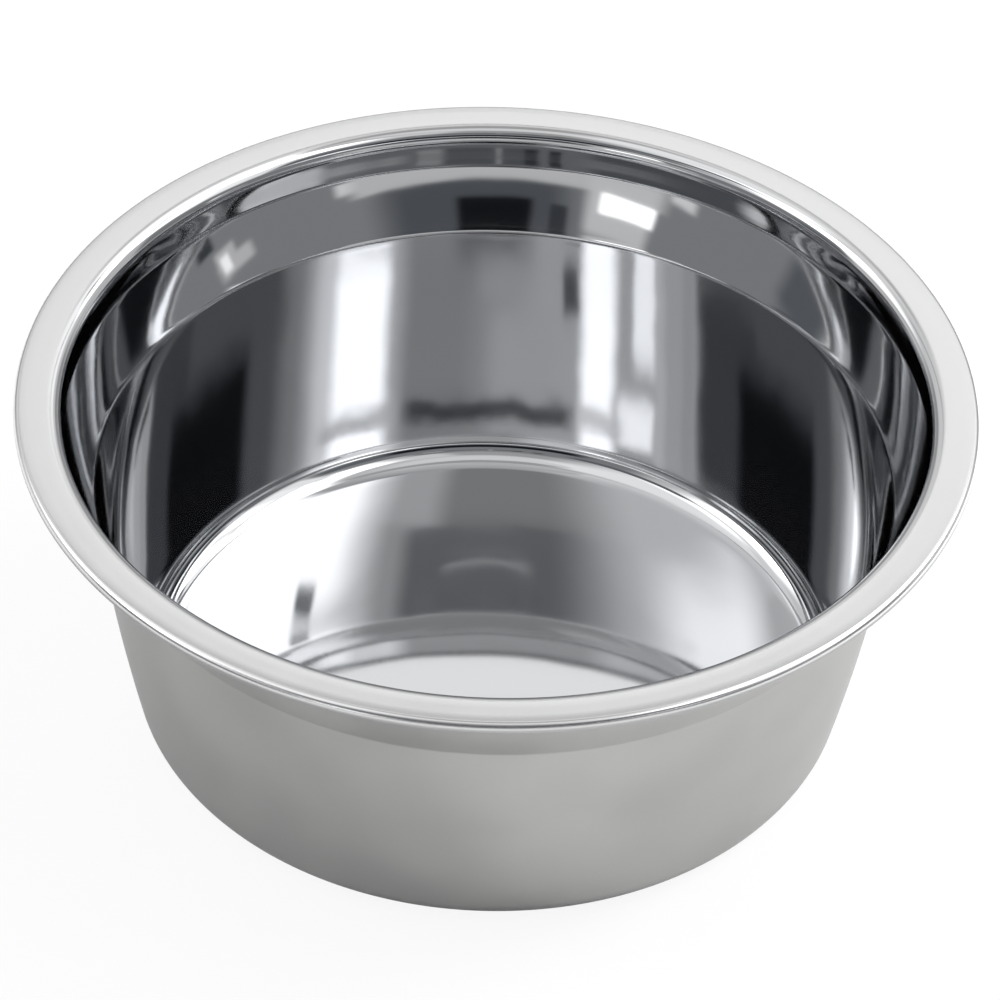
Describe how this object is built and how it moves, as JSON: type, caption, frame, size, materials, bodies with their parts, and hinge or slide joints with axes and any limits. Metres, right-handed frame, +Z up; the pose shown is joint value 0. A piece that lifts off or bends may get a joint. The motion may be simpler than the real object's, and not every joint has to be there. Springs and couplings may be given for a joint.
{
  "type": "dog bowl",
  "caption": "Round one-piece stainless steel feeding bowl with a flat rim, a rolled edge, a stepped collar and a tapering wall.",
  "frame": {"origin": "on the axis of the bowl, in the plane that the bowl stands on", "axes": "+Z up along the axis of the bowl, -Y towards the side that the picture is taken from, +X to the right of that view"},
  "size_m": [0.24, 0.24, 0.094],
  "materials": {
    "stainless_sheet": "mirror-polished on the inside and the rim, satin on the outside of the wall and under the base"
  },
  "bodies": {
    "root": {"bowl": "stainless_sheet"}
  },
  "joints": []
}
